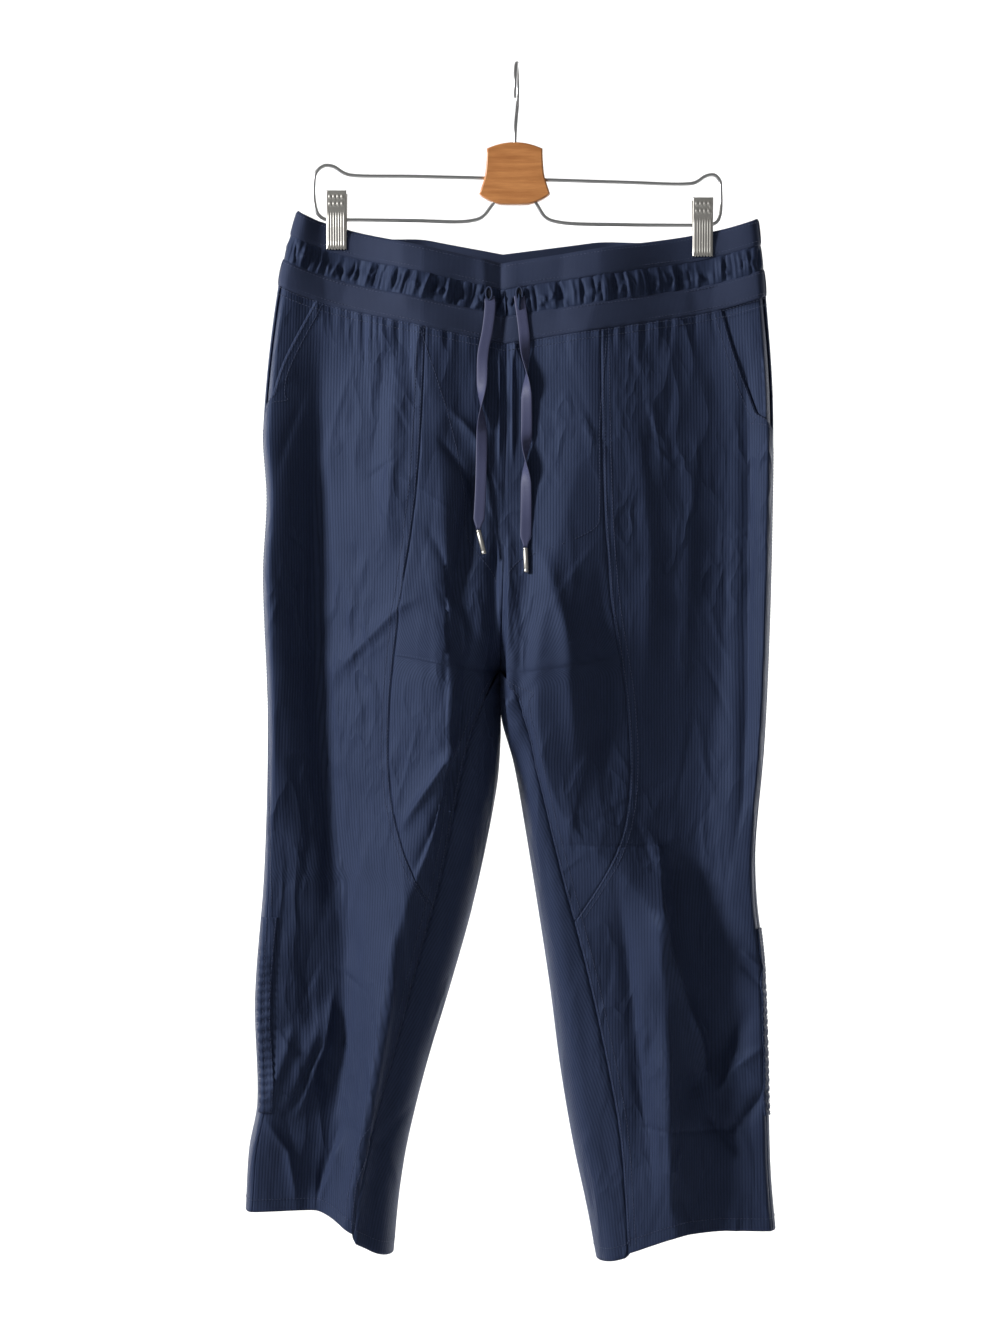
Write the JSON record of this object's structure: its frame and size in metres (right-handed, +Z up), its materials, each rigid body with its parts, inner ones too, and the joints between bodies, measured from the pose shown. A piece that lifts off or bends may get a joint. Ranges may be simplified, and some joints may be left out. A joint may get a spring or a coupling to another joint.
{
  "type": "capri pants on a clip hanger",
  "caption": "Cropped navy woven trousers with a three-band drawstring waist, front pockets and curved front seams, hung flat from a wire hanger with a wooden plate and two metal clips.",
  "frame": {"origin": "inside of the hook's crown, where a rail carries the hanger", "axes": "+Z up, the front of the trousers faces -Y, +X to the viewer's right when facing the front"},
  "size_m": [0.4548, 0.1211, 1.0242],
  "materials": {
    "woven_cloth": "ribbed woven nylon, slight sheen",
    "band_knit": "matt knitted band",
    "cord_tape": "flat woven tape, smooth",
    "cord_tip_metal": "satin nickel",
    "hanger_wire": "bright plated wire",
    "hanger_wood": "varnished orange-brown wood",
    "clip_metal": "satin nickel plate"
  },
  "bodies": {
    "root": {"back_left": "woven_cloth", "back_right": "woven_cloth", "clip_left_back": "clip_metal", "clip_left_front": "clip_metal", "clip_left_spring": "clip_metal", "clip_right_back": "clip_metal", "clip_right_front": "clip_metal", "clip_right_spring": "clip_metal", "cord_tip_left": "cord_tip_metal", "cord_tip_right": "cord_tip_metal", "drawcord_left": "cord_tape", "drawcord_right": "cord_tape", "front_centre_left": "woven_cloth", "front_centre_right": "woven_cloth", "front_side_left": "woven_cloth", "front_side_right": "woven_cloth", "hanger_hook": "hanger_wire", "hanger_plate": "hanger_wood", "hanger_wire_left": "hanger_wire", "hanger_wire_right": "hanger_wire", "pocket_facing_left": "woven_cloth", "pocket_facing_right": "woven_cloth", "side_casing_left": "woven_cloth", "side_casing_right": "woven_cloth", "waist_gathered_channel_back": "woven_cloth", "waist_gathered_channel_front": "woven_cloth", "waist_lower_band_back": "band_knit", "waist_lower_band_front": "band_knit", "waist_top_band_back": "band_knit", "waist_top_band_front": "band_knit"}
  },
  "joints": []
}
